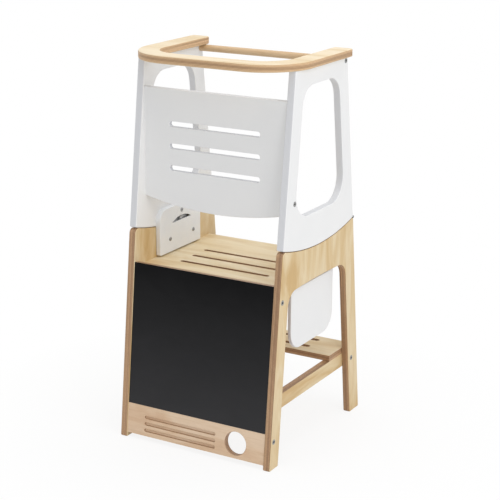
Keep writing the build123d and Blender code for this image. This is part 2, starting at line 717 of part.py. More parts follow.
def step_screws(holes=False):
    """Screws up through the stretchers into the step."""
    make = countersunk_hole if holes else countersunk_screw
    screws = []
    for x, y in step_screw_places():
        screws += both_sides(Pos(x, y, stretcher_bottom) * Rot(180, 0, 0) * make(STEP_SCREW_LENGTH))
    return screws


def step_board():
    """Lower step with two slots."""
    near = step_far - STEP_DEPTH
    board = block(-inner_x, inner_x, near, step_far, step_bottom, STEP_TOP)
    long_edges = board.edges().filter_by(Axis.X)
    board = fillet(long_edges, BOARD_ROUNDOVER)
    for setback in STEP_SLOT_SETBACKS:
        outline = slot((0, step_far - setback), STEP_SLOT_LENGTH, STEP_SLOT_WIDTH)
        board = board - extrude(Pos(0, 0, step_bottom) * outline, amount=STEP_THICKNESS)
    return cut_all(board, step_screws(holes=True))


def stretcher():
    """Right-hand rail under the step, from the front panel to the far leg."""
    top = step_bottom
    far = lower_half_depth(stretcher_bottom + STRETCHER_HEIGHT) - STRETCHER_FAR_SETBACK
    corners = [
        (front_rear_y(stretcher_bottom), stretcher_bottom),
        (far, stretcher_bottom),
        (far, top),
        (front_rear_y(top), top),
    ]
    outline = make_face(Polyline(*corners, close=True))
    rail = plate_x(outline, inner_x - STRETCHER_THICKNESS, inner_x)
    rail = fillet(rail.edges().filter_by(Axis.Y).sort_by(Axis.Z)[:2], BOARD_ROUNDOVER)
    cuts = [insert_hole(*stretcher_bolt_place), stretcher_dowel(SNUG)] + step_screws(holes=True)
    return cut_all(rail, cuts)


knuckle_step = (HINGE_WIDTH - 2 * HINGE_KNUCKLE_GAP) / 3


def hinge_knuckles(indices):
    """Rolled knuckles of a hinge leaf about the hinge pin."""
    start = side_middle_x - HINGE_WIDTH / 2
    knuckles = []
    for index in indices:
        low = start + index * (knuckle_step + HINGE_KNUCKLE_GAP)
        knuckles.append(rod_x(HINGE_KNUCKLE_RADIUS, low, low + knuckle_step, hinge_y, hinge_z))
    return knuckles


def hinge_web(edge_y, index, direction):
    """Bend of metal that joins one knuckle to its leaf, just beyond the pin."""
    low = side_middle_x - HINGE_WIDTH / 2 + index * (knuckle_step + HINGE_KNUCKLE_GAP)
    inner = hinge_z + direction * HINGE_WEB_FROM_PIN
    outer = hinge_z + direction * (HINGE_KNUCKLE_RADIUS - HINGE_KNUCKLE_GAP)
    near = edge_y + HINGE_LEAF_THICKNESS / 2
    return block(low, low + knuckle_step, near, hinge_y, inner, outer)


def hinge_leaf(plane, outward, direction, indices, clear_of):
    """Leaf on a far edge, with its knuckles, bored for the pin and cleared for the other leaf."""
    lift = outward * HINGE_LEAF_THICKNESS / 2
    flat = Box(HINGE_WIDTH, HINGE_LEAF_LENGTH, HINGE_LEAF_THICKNESS)
    leaf = plane * Pos(0, HINGE_LEAF_LENGTH / 2, lift) * flat
    start = side_middle_x - HINGE_WIDTH / 2
    for index in clear_of:
        low = start + index * (knuckle_step + HINGE_KNUCKLE_GAP) - HINGE_KNUCKLE_GAP
        high = low + knuckle_step + 2 * HINGE_KNUCKLE_GAP
        leaf = leaf - rod_x(HINGE_KNUCKLE_RADIUS + HINGE_KNUCKLE_GAP, low, high, hinge_y, hinge_z)
    for knuckle in hinge_knuckles(indices):
        leaf = leaf + knuckle
    for index in indices:
        leaf = leaf + hinge_web(plane.origin.Y, index, direction)
    bore = rod_x(HINGE_PIN_RADIUS + RUNNING_CLEARANCE, start - 1, start + HINGE_WIDTH + 1, hinge_y, hinge_z)
    return cut_all(leaf, [bore] + edge_screws(plane, outward, holes=True))


def hinge_pin():
    """Steel pin through the knuckles, with a thin head at each end."""
    low = side_middle_x - HINGE_WIDTH / 2
    high = low + HINGE_WIDTH
    pin = rod_x(HINGE_PIN_RADIUS, low - HINGE_PIN_HEAD, high + HINGE_PIN_HEAD, hinge_y, hinge_z)
    pin = pin + rod_x(HINGE_PIN_HEAD_RADIUS, low - HINGE_PIN_HEAD, low, hinge_y, hinge_z)
    return pin + rod_x(HINGE_PIN_HEAD_RADIUS, high, high + HINGE_PIN_HEAD, hinge_y, hinge_z)


# Lock parts are drawn on the right-hand side; the cavity opens towards the side panel
lock_face_x = inner_x - LOCK_THICKNESS
cavity_x = lock_face_x + LOCK_WALL
back_plate_x = inner_x - LOCK_RELIEF
lever_outer_x = back_plate_x - BACK_PLATE_THICKNESS - LEVER_GAP
lever_inner_x = lever_outer_x - LEVER_THICKNESS


def rounded_outline(half, low, high, top_corner, bottom_corner):
    """Upright rectangle about the middle, with rounded corners."""
    outline = Pos(0, (low + high) / 2) * Rectangle(2 * half, high - low)
    outline = fillet(outline.vertices().group_by(Axis.Y)[-1], top_corner)
    return fillet(outline.vertices().group_by(Axis.Y)[0], bottom_corner)


def pin_exit():
    """Outline of the way that the pin leaves the lock, downwards and towards the hinge side."""
    middle = LOCK_CENTRE + PIN_EXIT_SHIFT
    top = pin_z + PIN_RADIUS + PIN_EXIT_MARGIN
    bottom = lock_bottom - PIN_EXIT_MARGIN
    return Pos(middle, (top + bottom) / 2) * Rectangle(PIN_EXIT_WIDTH, top - bottom)


def lock_housing():
    """White housing of the right-hand lock: a shell with bosses, pegs and a half-moon finger slot."""
    outline = rounded_outline(LOCK_HALF_DEPTH, lock_bottom, lock_top, LOCK_TOP_CORNER, LOCK_BOTTOM_CORNER)
    shell = plate_x(outline, lock_face_x, inner_x)
    shell = fillet(shell.faces().sort_by(Axis.X)[0].edges(), LOCK_ROUNDOVER)
    inside = rounded_outline(
        LOCK_HALF_DEPTH - LOCK_WALL, lock_bottom + LOCK_WALL, lock_top - LOCK_WALL,
        LOCK_TOP_CORNER - LOCK_WALL, 1.0)
    shell = shell - plate_x(inside, cavity_x, inner_x)
    for y, z in lock_lower_places:
        shell = shell + rod_x(LOCK_BOSS_RADIUS, lock_face_x + 1, back_plate_x - BACK_PLATE_THICKNESS, y, z)
    for y, z in lock_peg_places:
        shell = shell + rod_x(LOCK_BOSS_RADIUS, lock_face_x + 1, inner_x, y, z)
        shell = shell + rod_x(LOCK_PEG_RADIUS, inner_x - 1, inner_x + LOCK_PEG_LENGTH, y, z)
    relief = block(inner_x - LOCK_RELIEF, inner_x + 1, -LOCK_HALF_DEPTH - 1, LOCK_HALF_DEPTH + 1,
                   lock_bottom - 1, SEAM_LOW + LOCK_RELIEF_ABOVE_SEAM)
    half_slot = FINGER_SLOT_WIDTH / 2
    base = SEAM_LOW + FINGER_SLOT_ABOVE_SEAM
    moon = make_face(
        Line((LOCK_CENTRE - half_slot, base), (LOCK_CENTRE + half_slot, base))
        + ThreePointArc((LOCK_CENTRE + half_slot, base), (LOCK_CENTRE, base + FINGER_SLOT_HEIGHT),
                        (LOCK_CENTRE - half_slot, base)))
    cuts = [relief, plate_x(moon, lock_face_x - 1, cavity_x + 0.5)]
    cuts.append(plate_x(pin_exit(), cavity_x, inner_x))
    for y, z in lock_lower_places + [lock_pivot_place]:
        cuts.append(rod_x(LOCK_SCREW_RADIUS + SNUG, lock_face_x - 1, inner_x, y, z))
    return cut_all(shell, cuts)


def back_plate():
    """Steel plate that the cover screws clamp, notched for the pin's way out."""
    low = lock_lower_z - BACK_PLATE_MARGIN
    high = lock_lower_z + BACK_PLATE_MARGIN
    half = LOCK_LOWER_SPREAD + BACK_PLATE_MARGIN
    outline = Pos(LOCK_CENTRE, (low + high) / 2) * Rectangle(2 * half, high - low)
    bridge_top = pivot_z + LEVER_HUB_RADIUS
    bridge = Pos(LOCK_CENTRE, (low + bridge_top) / 2) * Rectangle(BACK_PLATE_BRIDGE, bridge_top - low)
    outline = outline + bridge - pin_exit()
    plate = plate_x(outline, back_plate_x - BACK_PLATE_THICKNESS, back_plate_x)
    cuts = []
    for y, z in lock_lower_places + [lock_pivot_place]:
        cuts.append(rod_x(LOCK_SCREW_RADIUS + SNUG, lock_face_x, inner_x, y, z))
    return cut_all(plate, cuts)


def lock_screw(y, z, end):
    """Button-head screw through the housing, as far as a given X."""
    head = rod_x(LOCK_SCREW_HEAD_RADIUS, lock_face_x - LOCK_SCREW_HEAD_HEIGHT, lock_face_x, y, z)
    head = fillet(head.faces().sort_by(Axis.X)[0].edges(), LOCK_SCREW_HEAD_ROUND)
    hexagon = Pos(y, z) * RegularPolygon(HEX_ACROSS_FLATS / 2, 6, major_radius=False)
    socket_floor = lock_face_x - LOCK_SCREW_SOCKET_FLOOR
    socket = plate_x(hexagon, lock_face_x - LOCK_SCREW_HEAD_HEIGHT - 1, socket_floor)
    return head + rod_x(LOCK_SCREW_RADIUS, lock_face_x, end, y, z) - socket


def lock_screws():
    """All screws of the right-hand lock."""
    screws = [lock_screw(y, z, back_plate_x) for y, z in lock_lower_places]
    return screws + [lock_screw(*lock_pivot_place, inner_x + LOCK_SCREW_IN_PANEL)]


def strike_pin():
    """Steel pin in the lower side panel, reaching into the lock."""
    pin = rod_x(PIN_RADIUS, inner_x - PIN_PROUD, inner_x + PIN_IN_PANEL, LOCK_CENTRE, pin_z)
    return chamfer(pin.faces().sort_by(Axis.X)[0].edges(), PIN_CHAMFER)


shank_near_y = LOCK_CENTRE + PIN_RADIUS + LEVER_GAP
shank_far_y = shank_near_y + LEVER_SHANK_WIDTH
lip_top = pin_z - PIN_RADIUS - LEVER_GAP
tab_low = SEAM_LOW + FINGER_SLOT_ABOVE_SEAM + LEVER_TAB_LIFT


def latch_lever():
    """Hook lever: it hangs from the top screw and its lip passes under the pin."""
    hub = Pos(LOCK_CENTRE, pivot_z) * Circle(LEVER_HUB_RADIUS)
    lip_base = lip_top - LEVER_LIP_HEIGHT
    shank_top = pivot_z - LEVER_HUB_OVERLAP
    shank = make_face(Polyline(
        (shank_near_y, lip_base), (shank_far_y, lip_base), (shank_far_y, shank_top),
        (shank_near_y - LEVER_NECK, shank_top), (shank_near_y, tab_low - LEVER_NECK), close=True))
    lip_end = LOCK_CENTRE - LEVER_LIP_REACH
    lip = make_face(Polyline(
        (lip_end, lip_top), (lip_end, lip_top - LEVER_LIP_TIP),
        (shank_near_y, lip_base), (shank_near_y + 1, lip_top), close=True))
    lever = plate_x(hub + shank + lip, lever_inner_x, lever_outer_x)
    tab_face = lever_inner_x - LEVER_TAB_PROUD
    tab_half = LEVER_TAB_WIDTH / 2
    tab = block(tab_face, lever_outer_x, LOCK_CENTRE - tab_half, LOCK_CENTRE + tab_half,
                tab_low, tab_low + LEVER_TAB_HEIGHT)
    bore = rod_x(LOCK_SCREW_RADIUS + RUNNING_CLEARANCE, tab_face, inner_x, LOCK_CENTRE, pivot_z)
    return lever + tab - bore


def lock_spring():
    """Bowed leaf spring between the far boss and the lever's shank."""
    z = lock_lower_z + LOCK_BOSS_RADIUS + SPRING_THICKNESS
    start = (shank_far_y + SPRING_TO_SHANK, z + SPRING_RISE)
    end = (LOCK_CENTRE + LOCK_LOWER_SPREAD - 1, z)
    middle = ((start[0] + end[0]) / 2, (start[1] + end[1]) / 2 + SPRING_BOW)
    lift = SPRING_THICKNESS
    outline = make_face(
        ThreePointArc(start, middle, end) + Line(end, (end[0], end[1] + lift))
        + ThreePointArc((end[0], end[1] + lift), (middle[0], middle[1] + lift), (start[0], start[1] + lift))
        + Line((start[0], start[1] + lift), start))
    spring_x = lever_inner_x + SPRING_TO_FACE
    return plate_x(outline, spring_x, spring_x + SPRING_WIDTH)


# Flap hinges: the pin runs along Y just under the platform, inside the flap
flap_outer_x = inner_x - FLAP_FROM_SIDE
flap_inner_x = flap_outer_x - FLAP_THICKNESS
flap_top = platform_bottom - FLAP_GAP
flap_pin_x = flap_inner_x - FLAP_HINGE_KNUCKLE - FLAP_PIN_CLEARANCE
flap_pin_z = platform_bottom - FLAP_HINGE_KNUCKLE - FLAP_PIN_CLEARANCE
flap_knuckle_step = (FLAP_HINGE_WIDTH - 2 * HINGE_KNUCKLE_GAP) / 3


def flap_panel():
    """White side flap with two large lower corners, hanging from the platform."""
    height = flap_top - FLAP_BOTTOM
    outline = Pos(FLAP_CENTRE, FLAP_BOTTOM + height / 2) * Rectangle(FLAP_WIDTH, height)
    outline = fillet(outline.vertices().group_by(Axis.Y)[0], FLAP_CORNER)
    panel = round_broad_faces(plate_x(outline, flap_inner_x, flap_outer_x), Axis.X, FLAP_ROUNDOVER)
    return cut_all(panel, flap_panel_screws(holes=True))


def flap_knuckles(y, indices):
    """Knuckles of one flap hinge."""
    knuckles = []
    for index in indices:
        low = y - FLAP_HINGE_WIDTH / 2 + index * (flap_knuckle_step + HINGE_KNUCKLE_GAP)
        knuckles.append(rod_y(FLAP_HINGE_KNUCKLE, low, low + flap_knuckle_step, flap_pin_x, flap_pin_z))
    return knuckles


def flap_bore(y):
    """Bore for the pin of one flap hinge."""
    half = FLAP_HINGE_WIDTH / 2 + 1
    return rod_y(HINGE_PIN_RADIUS + RUNNING_CLEARANCE, y - half, y + half, flap_pin_x, flap_pin_z)


def flap_clearance(y, indices):
    """Room round the other leaf's knuckles."""
    room = []
    for index in indices:
        start = y - FLAP_HINGE_WIDTH / 2 - HINGE_KNUCKLE_GAP
        low = start + index * (flap_knuckle_step + HINGE_KNUCKLE_GAP)
        high = low + flap_knuckle_step + 2 * HINGE_KNUCKLE_GAP
        room.append(rod_y(FLAP_HINGE_KNUCKLE + HINGE_KNUCKLE_GAP, low, high, flap_pin_x, flap_pin_z))
    return room


def flap_platform_leaf(y):
    """Leaf screwed under the platform."""
    half = FLAP_HINGE_WIDTH / 2
    leaf = block(flap_pin_x - FLAP_LEAF_LENGTH, flap_pin_x, y - half, y + half,
                 platform_bottom - FLAP_LEAF_THICKNESS, platform_bottom)
    leaf = cut_all(leaf, flap_clearance(y, [1]))
    for knuckle in flap_knuckles(y, [0, 2]):
        leaf = leaf + knuckle
    return cut_all(leaf, [flap_bore(y)] + flap_platform_screws(holes=True))


def flap_panel_leaf(y):
    """Leaf screwed to the inner face of the flap."""
    half = FLAP_HINGE_WIDTH / 2
    leaf = block(flap_inner_x - FLAP_LEAF_THICKNESS, flap_inner_x, y - half, y + half,
                 flap_pin_z - FLAP_LEAF_LENGTH, flap_pin_z)
    leaf = cut_all(leaf, flap_clearance(y, [0, 2]))
    for knuckle in flap_knuckles(y, [1]):
        leaf = leaf + knuckle
    return cut_all(leaf, [flap_bore(y)] + flap_panel_screws(holes=True))


def flap_hinge_pin(y):
    """Pin of one flap hinge."""
    half = FLAP_HINGE_WIDTH / 2
    return rod_y(HINGE_PIN_RADIUS, y - half, y + half, flap_pin_x, flap_pin_z)


def flap_screw_offsets():
    """Two screws side by side on each leaf."""
    return (-FLAP_HINGE_WIDTH / 4, FLAP_HINGE_WIDTH / 4)


def flap_platform_screws(holes=False):
    """Screws up into the platform."""
    make = countersunk_hole if holes else countersunk_screw
    x = flap_pin_x - FLAP_SCREW_FROM_PIN
    z = platform_bottom - FLAP_LEAF_THICKNESS
    places = [y + offset for y in FLAP_HINGE_PLACES for offset in flap_screw_offsets()]
    screw = make(FLAP_PLATFORM_SCREW_LENGTH, FLAP_SCREW_RADIUS, FLAP_SCREW_HEAD_RADIUS)
    return [Pos(x, y, z) * Rot(180, 0, 0) * screw for y in places]


def flap_panel_screws(holes=False):
    """Screws into the flap from its inner face."""
    make = countersunk_hole if holes else countersunk_screw
    x = flap_inner_x - FLAP_LEAF_THICKNESS
    z = flap_pin_z - FLAP_SCREW_FROM_PIN
    places = [y + offset for y in FLAP_HINGE_PLACES for offset in flap_screw_offsets()]
    screw = make(FLAP_SCREW_LENGTH, FLAP_SCREW_RADIUS, FLAP_SCREW_HEAD_RADIUS)
    return [Pos(x, y, z) * Rot(0, -90, 0) * screw for y in places]


def twins(pieces):
    """A group of right-hand pieces and their left-hand twins."""
    return group([twin for piece in pieces for twin in both_sides(piece)])


def paired(places, make):
    """A group with one piece at each place, on both sides."""
    return twins([make(*place) for place in places])


def all_nodes():
    """Every node by name."""
    right_lower = lower_side()
    right_upper = upper_side()
    right_stretcher = stretcher()
    right_housing = lock_housing()
    right_lever = latch_lever()
    right_spring = lock_spring()
    lower_leaf = hinge_leaf(lower_leaf_plane, lower_outward, -1, [0, 2], [1])
    upper_leaf = hinge_leaf(upper_leaf_plane, upper_outward, 1, [1], [0, 2])
    nodes = {
        "base_side_right": right_lower,
        "base_side_left": other_side(right_lower),
        "front_panel": front_panel(),
        "chalkboard": chalkboard(),
        "front_panel_bolts": paired(front_bolt_places, side_bolt),
        "front_panel_inserts": paired(front_bolt_places, insert_nut),
        "platform": platform(),
        "platform_dowels": twins([side_dowel(DOWEL_RADIUS, *place) for place in platform_dowel_places]),
        "platform_cam_locks": paired([(y,) for y in platform_cam_places], cam_lock),
        "platform_cam_bolts": paired([(y,) for y in platform_cam_places], cam_bolt),
        "step_board": step_board(),
        "step_screws": group(step_screws()),
        "stretcher_right": right_stretcher,
        "stretcher_left": other_side(right_stretcher),
        "stretcher_bolts": paired([stretcher_bolt_place], side_bolt),
        "stretcher_inserts": paired([stretcher_bolt_place], insert_nut),
        "stretcher_dowels": group(both_sides(stretcher_dowel())),
        "strike_pins": group(both_sides(strike_pin())),
        "hinge_lower_leaves": group(both_sides(lower_leaf)),
        "hinge_pins": group(both_sides(hinge_pin())),
        "hinge_lower_screws": twins(edge_screws(lower_leaf_plane, lower_outward)),
        "hinge_upper_leaves": group(both_sides(upper_leaf)),
        "hinge_upper_screws": twins(edge_screws(upper_leaf_plane, upper_outward)),
        "upper_side_right": right_upper,
        "upper_side_left": other_side(right_upper),
        "guard_panel": guard_panel(),
        "guard_bolts": paired([guard_bolt_place], side_bolt),
        "guard_inserts": paired([guard_bolt_place], insert_nut),
        "guard_dowels": twins([side_dowel(THIN_DOWEL_RADIUS, *place) for place in guard_dowel_places]),
        "top_rail": top_rail(),
        "rail_dowels": paired([(y,) for y in rail_dowel_places], rail_dowel),
        "crossbar": crossbar(),
        "crossbar_bolts": paired([crossbar_place], side_bolt),
        "crossbar_inserts": paired([crossbar_place], insert_nut),
        "lock_housing_right": right_housing,
        "lock_housing_left": other_side(right_housing),
        "lock_back_plates": group(both_sides(back_plate())),
        "lock_screws": twins(lock_screws()),
        "latch_lever_right": right_lever,
        "latch_lever_left": other_side(right_lever),
        "lock_spring_right": right_spring,
        "lock_spring_left": other_side(right_spring),
        "flap_panel": flap_panel(),
        "flap_hinge_platform_leaves": group([flap_platform_leaf(y) for y in FLAP_HINGE_PLACES]),
        "flap_hinge_panel_leaves": group([flap_panel_leaf(y) for y in FLAP_HINGE_PLACES]),
        "flap_hinge_pins": group([flap_hinge_pin(y) for y in FLAP_HINGE_PLACES]),
        "flap_hinge_platform_screws": group(flap_platform_screws()),
        "flap_hinge_panel_screws": group(flap_panel_screws()),
    }
    return nodes


os.makedirs("parts", exist_ok=True)
for node_name, node_shape in all_nodes().items():
    export_step(node_shape, f"parts/{node_name}.step")
    print(node_name)
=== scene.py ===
# %% [markdown]
# # A child's standing tower
#
# The real object is a stool of birch plywood with a white frame hinged on top of it. A child
# stands on the slotted platform, held in by the white guard and the round-nosed rail.
# The solid model already has every board, bolt and hinge at its real size, so this lesson
# is about finish: wood that shows its plies, paint, chalkboard, steel, light and camera.

from math import atan, cos, pi, radians, sin

import bmesh
import bpy
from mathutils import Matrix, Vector


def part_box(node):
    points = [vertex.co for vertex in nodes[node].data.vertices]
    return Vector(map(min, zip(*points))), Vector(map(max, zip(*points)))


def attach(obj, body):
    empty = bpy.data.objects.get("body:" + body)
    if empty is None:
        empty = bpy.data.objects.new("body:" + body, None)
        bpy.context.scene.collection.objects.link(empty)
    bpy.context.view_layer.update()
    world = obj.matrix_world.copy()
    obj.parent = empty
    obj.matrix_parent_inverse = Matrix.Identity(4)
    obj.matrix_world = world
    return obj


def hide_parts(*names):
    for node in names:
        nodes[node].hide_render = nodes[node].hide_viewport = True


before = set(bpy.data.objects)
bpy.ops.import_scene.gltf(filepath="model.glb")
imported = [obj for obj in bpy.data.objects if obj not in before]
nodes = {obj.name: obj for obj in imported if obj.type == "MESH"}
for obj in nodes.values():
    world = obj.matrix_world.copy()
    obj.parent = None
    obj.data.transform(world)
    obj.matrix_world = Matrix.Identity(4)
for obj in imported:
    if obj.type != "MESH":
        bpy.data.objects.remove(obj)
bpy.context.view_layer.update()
bpy.ops.object.select_all(action="DESELECT")
MM = 0.001

# %% [markdown]
# ## Small tools for finishes
#
# A finish is a chain of shader nodes. Writing each chain out by hand would hide what matters, the
# scale and the colour of the grain. So a few helpers come first: one adds a node, the others make
# the usual noise, colour ramp, sum and mix. They all read the object's own coordinates, in metres,
# so the pattern stays on the piece when a joint turns.


# %% Helpers that build a chain of shader nodes
def new_finish(name, roughness, metallic=0.0):
    finish = bpy.data.materials.new(name)
    finish.use_nodes = True
    shader = finish.node_tree.nodes["Principled BSDF"]
    shader.inputs["Roughness"].default_value = roughness
    shader.inputs["Metallic"].default_value = metallic
    return finish, finish.node_tree, shader


def add(tree, kind, **settings):
    node = tree.nodes.new(kind)
    for key, value in settings.items():
        setattr(node, key, value)
    return node


def feed(tree, socket, value):
    if isinstance(value, bpy.types.NodeSocket):
        tree.links.new(value, socket)
    else:
        socket.default_value = value


def calculate(tree, operation, first, second=0.0, third=0.0):
    node = add(tree, "ShaderNodeMath", operation=operation)
    for socket, value in zip(node.inputs, (first, second, third)):
        feed(tree, socket, value)
    return node.outputs["Value"]


def stretched(tree, point, scale):
    node = add(tree, "ShaderNodeMapping")
    feed(tree, node.inputs["Vector"], point)
    node.inputs["Scale"].default_value = scale
    return node.outputs["Vector"]


def noise(tree, point, scale, detail=3.0, roughness=0.5, distortion=0.0):
    node = add(tree, "ShaderNodeTexNoise")
    feed(tree, node.inputs["Vector"], point)
    node.inputs["Scale"].default_value = scale
    node.inputs["Detail"].default_value = detail
    node.inputs["Roughness"].default_value = roughness
    node.inputs["Distortion"].default_value = distortion
    return node.outputs["Fac"]


def ramp(tree, value, stops):
    node = add(tree, "ShaderNodeValToRGB")
    feed(tree, node.inputs["Fac"], value)
    elements = node.color_ramp.elements
    while len(elements) < len(stops):
        elements.new(0.5)
    for element, (place, colour) in zip(elements, stops):
        element.position = place
        element.color = (*colour, 1.0)
    return node.outputs["Color"]


def remap(tree, value, low, high, to_low, to_high):
    node = add(tree, "ShaderNodeMapRange")
    feed(tree, node.inputs["Value"], value)
    node.inputs["From Min"].default_value = low
    node.inputs["From Max"].default_value = high
    node.inputs["To Min"].default_value = to_low
    node.inputs["To Max"].default_value = to_high
    return node.outputs["Result"]


def blend_colours(tree, share, first, second, how="MIX"):
    node = add(tree, "ShaderNodeMix", data_type="RGBA", blend_type=how)
    colours = [socket for socket in node.inputs if socket.type == "RGBA"]
    feed(tree, node.inputs["Factor"], share)
    for socket, value in zip(colours, (first, second)):
        feed(tree, socket, (*value, 1.0) if isinstance(value, tuple) else value)
    return [socket for socket in node.outputs if socket.type == "RGBA"][0]


def bump(tree, shader, height, strength, distance):
    node = add(tree, "ShaderNodeBump")
    feed(tree, node.inputs["Height"], height)
    node.inputs["Strength"].default_value = strength
    node.inputs["Distance"].default_value = distance
    tree.links.new(node.outputs["Normal"], shader.inputs["Normal"])


# %% [markdown]
# ## Which way a surface faces
#
# Plywood looks like smooth veneer on its two broad faces and like a stack of thin stripes on every
# cut edge. One finish can do both if it knows how far a surface is turned from the broad face.
# The object-space normal gives that. The front board leans, so its coordinates are first turned
# upright about the X axis. On a sanded round edge the veneer runs on a little way, so the change
# comes late, while a routed groove shows the plies almost at once.

# %% Position and facing, in the board's own directions
SLOPE = 0.108
LEAN = atan(SLOPE)
AXES = {"X": 0, "Y": 1, "Z": 2}
ROUNDED_EDGE = (0.42, 0.62)
ROUTED_EDGE = (0.70, 0.90)


def board_coordinates(tree, lean=0.0):
    coordinates = add(tree, "ShaderNodeTexCoord")
    turned = []
    for output in ("Object", "Normal"):
        if not lean:
            turned.append(coordinates.outputs[output])
            continue
        turn = add(tree, "ShaderNodeVectorRotate", rotation_type="X_AXIS")
        turn.inputs["Angle"].default_value = lean
        tree.links.new(coordinates.outputs[output], turn.inputs["Vector"])
        turned.append(turn.outputs["Vector"])
    return turned


def along(tree, vector, axis):
    node = add(tree, "ShaderNodeSeparateXYZ")
    feed(tree, node.inputs["Vector"], vector)
    return node.outputs[axis]


def broad_face_mask(tree, normal, axis, edge_to_face):
    facing = calculate(tree, "ABSOLUTE", along(tree, normal, axis))
    return remap(tree, facing, *edge_to_face, 0.0, 1.0)


# %% [markdown]
# ## Birch plywood
#
# Rotary-cut birch veneer has a quiet, cloudy figure drawn out along the grain, fine fibres, and
# short darker flecks. On the cut edge, light and dark plies alternate with a thin glue line in
# between, and the cut has burned a little redder than the faces. A picture of wood would need a file
# and would stretch round corners, so the figure is made from noise squeezed along one axis, and the
# plies from a triangle wave across the board's thickness.

# %% The plywood finish
CLOUD_SQUEEZE = 0.22
FIBRE_SQUEEZE = 0.035
BAND_SQUEEZE = 0.01
CLOUD_SCALE = 17.0
FIBRE_SCALE = 420.0
FLECK_SCALE = 1100.0
END_GRAIN_SCALE = 900.0
BAND_SCALE = 230.0
FIBRE_SHARE = 0.55
FLECK_SHARE = 0.35
END_GRAIN_SHARE = 0.6
BAND_SHARE = 0.9
UNTINTED = (1.0, 1.0, 1.0)
WOOD_SHEEN = (0.44, 0.58)


def squeezed(tree, point, grain, amount):
    scale = [1.0, 1.0, 1.0]
    scale[AXES[grain]] = amount
    return stretched(tree, point, scale)


def ply_stripes(tree, point, axis, start, thickness, plies, light, dark, glue):
    across = along(tree, point, axis)
    if axis == "X":
        across = calculate(tree, "ABSOLUTE", across)
    depth = remap(tree, across, start, start + thickness, 0.5, plies + 0.5)
    wave = calculate(tree, "PINGPONG", depth, 1.0)
    stops = [(0.0, dark), (0.38, dark), (0.47, glue), (0.55, glue), (0.63, light), (1.0, light)]
    return ramp(tree, wave, stops)


def plywood(name, axis, grain, start, thickness, plies, face, edge, lean=0.0, turn=ROUNDED_EDGE):
    finish, tree, shader = new_finish(name, 0.5)
    point, normal = board_coordinates(tree, lean)
    pale, mid, warm = face
    light, dark, glue = edge
    clouds = noise(tree, squeezed(tree, point, grain, CLOUD_SQUEEZE), CLOUD_SCALE, 4.0, 0.55, 0.9)
    veneer = ramp(tree, clouds, [(0.36, warm), (0.50, mid), (0.62, pale)])
    fibre_point = squeezed(tree, point, grain, FIBRE_SQUEEZE)
    fibres = noise(tree, fibre_point, FIBRE_SCALE, 4.0, 0.6, 0.2)
    fibre_tint = ramp(tree, fibres, [(0.32, (0.86, 0.81, 0.72)), (0.58, UNTINTED)])
    veneer = blend_colours(tree, FIBRE_SHARE, veneer, fibre_tint, "MULTIPLY")
    flecks = noise(tree, fibre_point, FLECK_SCALE, 2.0, 0.5)
    fleck_tint = ramp(tree, flecks, [(0.25, (0.72, 0.60, 0.44)), (0.36, UNTINTED)])
    veneer = blend_colours(tree, FLECK_SHARE, veneer, fleck_tint, "MULTIPLY")
    stripes = ply_stripes(tree, point, axis, start, thickness, plies, light, dark, glue)
    end_grain = noise(tree, point, END_GRAIN_SCALE, 3.0, 0.6)
    end_tint = ramp(tree, end_grain, [(0.35, (0.80, 0.76, 0.72)), (0.62, (1.08, 1.06, 1.02))])
    stripes = blend_colours(tree, END_GRAIN_SHARE, stripes, end_tint, "MULTIPLY")
    scale = [BAND_SQUEEZE, BAND_SQUEEZE, BAND_SQUEEZE]
    scale[AXES[axis]] = 1.0
    bands = noise(tree, stretched(tree, point, scale), BAND_SCALE, 1.0, 0.5)
    band_tint = ramp(tree, bands, [(0.36, (0.70, 0.64, 0.58)), (0.60, (1.12, 1.10, 1.06))])
    stripes = blend_colours(tree, BAND_SHARE, stripes, band_tint, "MULTIPLY")
    mask = broad_face_mask(tree, normal, axis, turn)
    tree.links.new(blend_colours(tree, mask, stripes, veneer), shader.inputs["Base Color"])
    tree.links.new(remap(tree, fibres, 0.3, 0.7, *WOOD_SHEEN), shader.inputs["Roughness"])
    bump(tree, shader, fibres, 0.12, 0.25 * MM)
    return finish


# %% [markdown]
# Boards cut from different sheets differ: the side panels are pale and golden, the front strip is
# more peach, and the rail has a lighter edge because its sanded nose shows more of the long plies.
# Each board gets its own call, with the thickness read from the solid model.

# %% Plywood on each board
inner_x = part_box("base_side_right")[0].x
side_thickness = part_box("base_side_right")[1].x - inner_x

PALE_FACE = ((0.79, 0.65, 0.425), (0.725, 0.555, 0.315), (0.63, 0.43, 0.195))
PEACH_FACE = ((0.83, 0.635, 0.46), (0.78, 0.565, 0.385), (0.71, 0.475, 0.305))
TOP_FACE = ((0.86, 0.735, 0.52), (0.81, 0.665, 0.43), (0.73, 0.56, 0.32))
RAIL_FACE = ((0.86, 0.735, 0.535), (0.82, 0.675, 0.455), (0.745, 0.58, 0.355))
BROWN_EDGE = ((0.70, 0.485, 0.30), (0.37, 0.20, 0.105), (0.13, 0.058, 0.026))
GROOVE_EDGE = ((0.56, 0.38, 0.25), (0.38, 0.235, 0.145), (0.24, 0.135, 0.075))
HONEY_EDGE = ((0.78, 0.57, 0.36), (0.57, 0.375, 0.21), (0.38, 0.21, 0.105))
SHEET_PLIES = 13
THIN_SHEET_PLIES = 11
GUARD_PLIES = 9
FLAP_PLIES = 7


def height_of(node):
    low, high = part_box(node)
    return low.z, high.z - low.z


